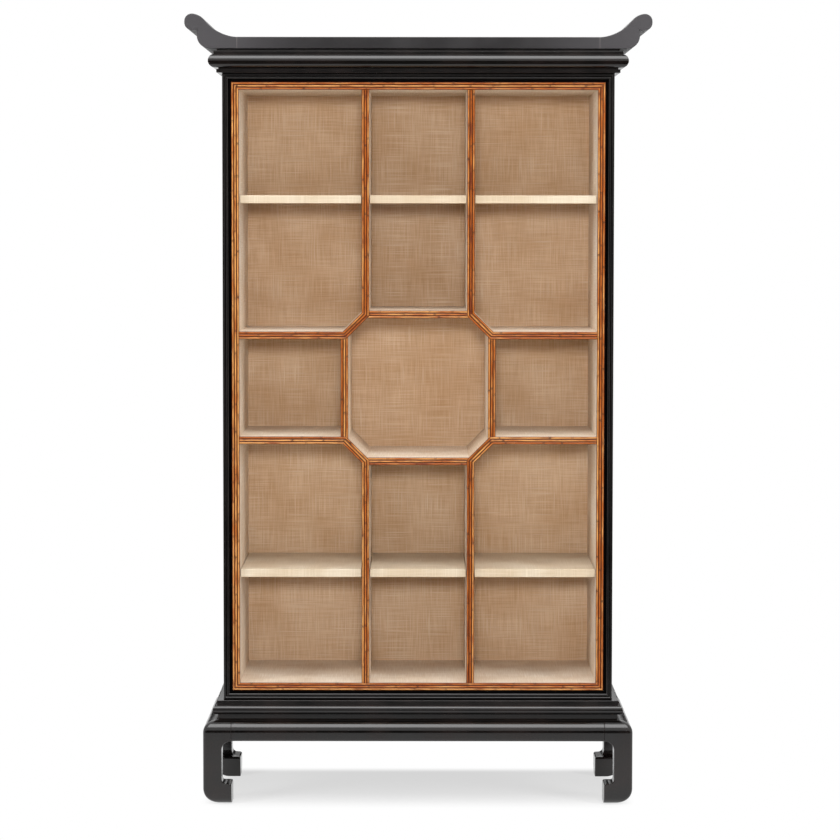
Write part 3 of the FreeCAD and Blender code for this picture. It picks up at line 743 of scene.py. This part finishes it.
# Cornice. A fillet, a half-round torus and a strip run in one moulding, mitred at the front corners and
# closed by a plain rail at the back. It is lacquered hardwood, screwed down on the case.
cornice_low, cornice_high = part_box("cornice_front")
fillet_reach, fillet_height = 0.014, 0.0095
quirk_reach, quirk_height = 0.009, 0.004
torus_reach, torus_height = 0.035, 0.035
strip_reach, strip_height = 0.021, 0.010
gap_reach = 0.012
fillet_top = cornice_low.z + fillet_height
torus_bottom = fillet_top + quirk_height
torus_top = torus_bottom + torus_height
strip_top = torus_top + strip_height
cornice_section = [
    (-moulding_depth, cornice_low.z, 0),
    (fillet_reach, cornice_low.z, step_edge_round),
    (fillet_reach, fillet_top, step_edge_round),
    (quirk_reach, fillet_top, 0),
    (quirk_reach, torus_bottom, 0),
    (torus_reach, torus_bottom, torus_height / 2),
    (torus_reach, torus_top, torus_height / 2),
    (strip_reach, torus_top, 0),
    (strip_reach, strip_top, step_edge_round),
    (gap_reach, strip_top, 0),
    (gap_reach, cornice_high.z, 0),
    (-moulding_depth, cornice_high.z, 0),
]
mouldings(cornice_section, torus_reach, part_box("cornice_left")[1].y, "cornice_moulding", "cornice")
dress(gloss_lacquer, "cornice_rear")

# Crown. A plank whose tongued ends hold the two scroll ends, each sawn and rounded from one block. The broad
# faces are rubbed to a duller sheen than the stand. A pale hairline at the glued joints is a painted
# highlight, and towards the scroll ends the lacquer is painted paler as painted light.
scroll_low, scroll_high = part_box("crown_scroll_right")
seam = scroll_low.x
plank_low, plank_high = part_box("crown_plank")
plank_top = plank_high.z
tip = scroll_high.x
scroll_height = 0.044
scroll_bottom = scroll_high.z - scroll_height
hollow, sweep_round = 0.5332, 0.104
crest, crest_round = 0.589, 0.041
scroll_round = 0.020
lobe, lobe_round = 0.594, 0.034
crease_width, crease_depth, crease_lean = 0.004, 0.003, 0.002
crown_edge_round = 0.0015
same_place = 0.0001
dull_lacquer = black_lacquer(
    "rubbed black lacquer", "#1B191A", "#232122", 0.34, 0.44, seam=seam, ends="#3F3D3F"
)
plank_section = [
    (0, plank_low.z, crown_edge_round),
    (0, plank_top, crown_edge_round),
    (plank_high.y - plank_low.y, plank_top, crown_edge_round),
    (plank_high.y - plank_low.y, plank_low.z, crown_edge_round),
]
plank = bar(plank_section, Vector((-seam, plank_low.y, 0)), inwards, up, Vector((2 * seam, 0, 0)))
piece("crown_board", plank, dull_lacquer, "cabinet", "black_lacquer", "crown_plank")
scroll_outline = [
    (seam, plank_low.z, 0),
    (lobe, plank_low.z, lobe_round),
    (lobe, scroll_bottom - crease_width, crease_width),
    (lobe - crease_lean, scroll_bottom + crease_depth, 0),
    (lobe + crease_width, scroll_bottom, crease_width),
    (tip, scroll_bottom, scroll_round),
    (tip, scroll_high.z, scroll_round),
    (crest, scroll_high.z, crest_round),
    (hollow, plank_top, sweep_round),
    (seam, plank_top, 0),
]
for side, hand in (("left", -1), ("right", 1)):
    sideways = Vector((hand, 0, 0))
    back = Vector((0, scroll_high.y - scroll_low.y, 0))
    scroll = bar(scroll_outline, Vector((0, scroll_low.y, 0)), sideways, up, back)
    rim = []
    for edge in scroll.edges:
        at_face = abs(edge.verts[0].co.y - edge.verts[1].co.y) < same_place
        at_seam = all(abs(abs(vert.co.x) - seam) < same_place for vert in edge.verts)
        if at_face and not at_seam:
            rim.append(edge)
    rounded(scroll, rim, crown_edge_round, "EDGES", steps=4)
    piece(f"scroll_end_{side}", scroll, dull_lacquer, "cabinet", "black_lacquer", f"crown_scroll_{side}")

# Screws. Countersunk zinc-plated steel, driven up through the corner blocks and the case boards, and through
# the back panel into the boards in front of it.
dress(zinc, "wood_screws")

# Room. A white paper floor that glows white for the camera and for reflections, and lets part of the real
# shadow show only in a patch the size of the stand's footprint, so painted light hides shade elsewhere.
# Black cloths that only the gloss shows put painted dark reflections on the lacquer. A soft lamp hangs
# overhead, one stands to each side in front, and one far in front fills the bays. The camera is level
# with the upper shelves.
shade_inset_x, shade_inset_y = 0.11, 0.03
shade_fade = 0.08
floor_half = 8


def seen(tree):
    """1 for what the camera, a reflection or a clear surface sees."""
    rays = [put(tree, "LightPath", output=f"Is {kind} Ray") for kind in ("Camera", "Glossy", "Transmission")]
    first = put(tree, "Math", {0: rays[0], 1: rays[1]}, operation="MAXIMUM")
    return put(tree, "Math", {0: first, 1: rays[2]}, operation="MAXIMUM")


paper, tree = new_finish("white paper")
place = put(tree, "TexCoord", output="Object")
# Painted light: the floor glows white, and only inside this patch does part of the real shadow show.
shaded_half = (cad_high.x - shade_inset_x, cad_high.y - shade_inset_y, 0)
away = put(tree, "VectorMath", {0: place}, operation="ABSOLUTE")
away = put(tree, "VectorMath", {0: away, 1: shaded_half}, operation="SUBTRACT")
away = put(tree, "VectorMath", {0: away, 1: (0, 0, 0)}, operation="MAXIMUM")
away = put(tree, "VectorMath", {0: away}, "Value", operation="LENGTH")
sockets = {0: away, 1: 0.0, 2: shade_fade, 3: 0.62, 4: 1.0}
share = put(tree, "MapRange", sockets, interpolation_type="SMOOTHSTEP")
share = put(tree, "Math", {0: share, 1: seen(tree)}, operation="MULTIPLY")
matt = put(tree, "BsdfDiffuse", {"Color": "#F2F2F2"})
white = put(tree, "Emission", {"Color": "#FFFFFF", "Strength": 1.0})
mixed = put(tree, "MixShader", {0: share, 1: matt, 2: white})
put(tree, "OutputMaterial", {"Surface": mixed})

sheet = bmesh.new()
bmesh.ops.create_grid(sheet, x_segments=1, y_segments=1, size=floor_half)
floor_mesh = bpy.data.meshes.new("floor")
sheet.to_mesh(floor_mesh)
sheet.free()
floor_mesh.materials.append(paper)
floor = bpy.data.objects.new("floor", floor_mesh)
bpy.context.scene.collection.objects.link(floor)

# Painted reflection: a dark sheet that only reflections see, so the lacquer reflects black; it casts no
# shadow.
dark_reflection_sheet, tree = new_finish("black cotton cloth")
shader = put(tree, "BsdfPrincipled", {"Base Color": "#0C0C0C", "Roughness": 0.9})
put(tree, "OutputMaterial", {"Surface": shader})
cloth_half = 6
cloth_middle, cloth_reach, cloth_lift = -5.5, 4.1, 0.002
curtain_start, curtain_height = -5, 2.9
rear_distance, rear_half_height = 6, 0.68
flag = bmesh.new()
ground = Matrix.Translation((0, cloth_middle, cloth_lift)) @ Matrix.Diagonal((cloth_half, cloth_reach, 1, 1))
bmesh.ops.create_grid(flag, x_segments=1, y_segments=2, size=1, matrix=ground)
far_edges = [
    edge for edge in flag.edges
    if edge.is_boundary and all(vert.co.y < curtain_start for vert in edge.verts)
]
grown = bmesh.ops.extrude_edge_only(flag, edges=far_edges)["geom"]
raised = [part for part in grown if isinstance(part, bmesh.types.BMVert)]
bmesh.ops.translate(flag, verts=raised, vec=(0, 0, curtain_height))
standing = Matrix.Rotation(math.pi / 2, 4, "X") @ Matrix.Diagonal((cloth_half, rear_half_height, 1, 1))
behind = Matrix.Translation((0, rear_distance, rear_half_height)) @ standing
bmesh.ops.create_grid(flag, x_segments=1, y_segments=1, size=1, matrix=behind)
flag_mesh = bpy.data.meshes.new("flag")
flag.to_mesh(flag_mesh)
flag.free()
flag_mesh.materials.append(dark_reflection_sheet)
flag_object = bpy.data.objects.new("flag", flag_mesh)
bpy.context.scene.collection.objects.link(flag_object)
flag_object.visible_camera = False
flag_object.visible_diffuse = False
flag_object.visible_transmission = False
flag_object.visible_shadow = False

world = bpy.data.worlds.new("studio")
bpy.context.scene.world = world
world.use_nodes = True
world.node_tree.nodes.clear()
tree = world.node_tree
fill = put(tree, "Background", {"Color": "#FFFFFF", "Strength": 0.03})
white = put(tree, "Background", {"Color": "#FFFFFF", "Strength": 1.0})
mixed = put(tree, "MixShader", {0: seen(tree), 1: fill, 2: white})
put(tree, "OutputWorld", {"Surface": mixed})


def lamp(name, at, towards, width, height, power):
    """A soft rectangular lamp turned towards a point."""
    light = bpy.data.lights.new(name, "AREA")
    light.shape = "RECTANGLE"
    light.size = width
    light.size_y = height
    light.energy = power
    made = bpy.data.objects.new(name, light)
    made.location = at
    made.rotation_euler = (Vector(towards) - Vector(at)).to_track_quat("-Z", "Y").to_euler()
    bpy.context.scene.collection.objects.link(made)
    return made


lamp("overhead lamp", at=(0, -2.3, 5.4), towards=(0, -0.4, 1.0), width=4.5, height=3.6, power=222)
for hand in (-1, 1):
    side_at = (hand * 4.4, -3.2, 2.3)
    side_lamp = lamp("side lamp", side_at, towards=(0, -0.1, 1.1), width=1.6, height=2.4, power=100)
    side_lamp.visible_glossy = False
front_lamp = lamp("front lamp", at=(0, -8.0, 2.33), towards=(0, 0, 1.1), width=1.0, height=0.65, power=242)
front_lamp.visible_glossy = False

camera = bpy.data.cameras.new("camera")
camera.sensor_width = 36
camera.lens = 111.82
camera.shift_x = 0.0021
camera.shift_y = -0.0810
camera_object = bpy.data.objects.new("camera", camera)
camera_object.location = (0, -7.220, 1.5876)
camera_object.rotation_euler = (math.radians(87.07), math.radians(-0.05), 0)
bpy.context.scene.collection.objects.link(camera_object)
bpy.context.scene.camera = camera_object
bpy.context.scene.view_settings.view_transform = "Standard"
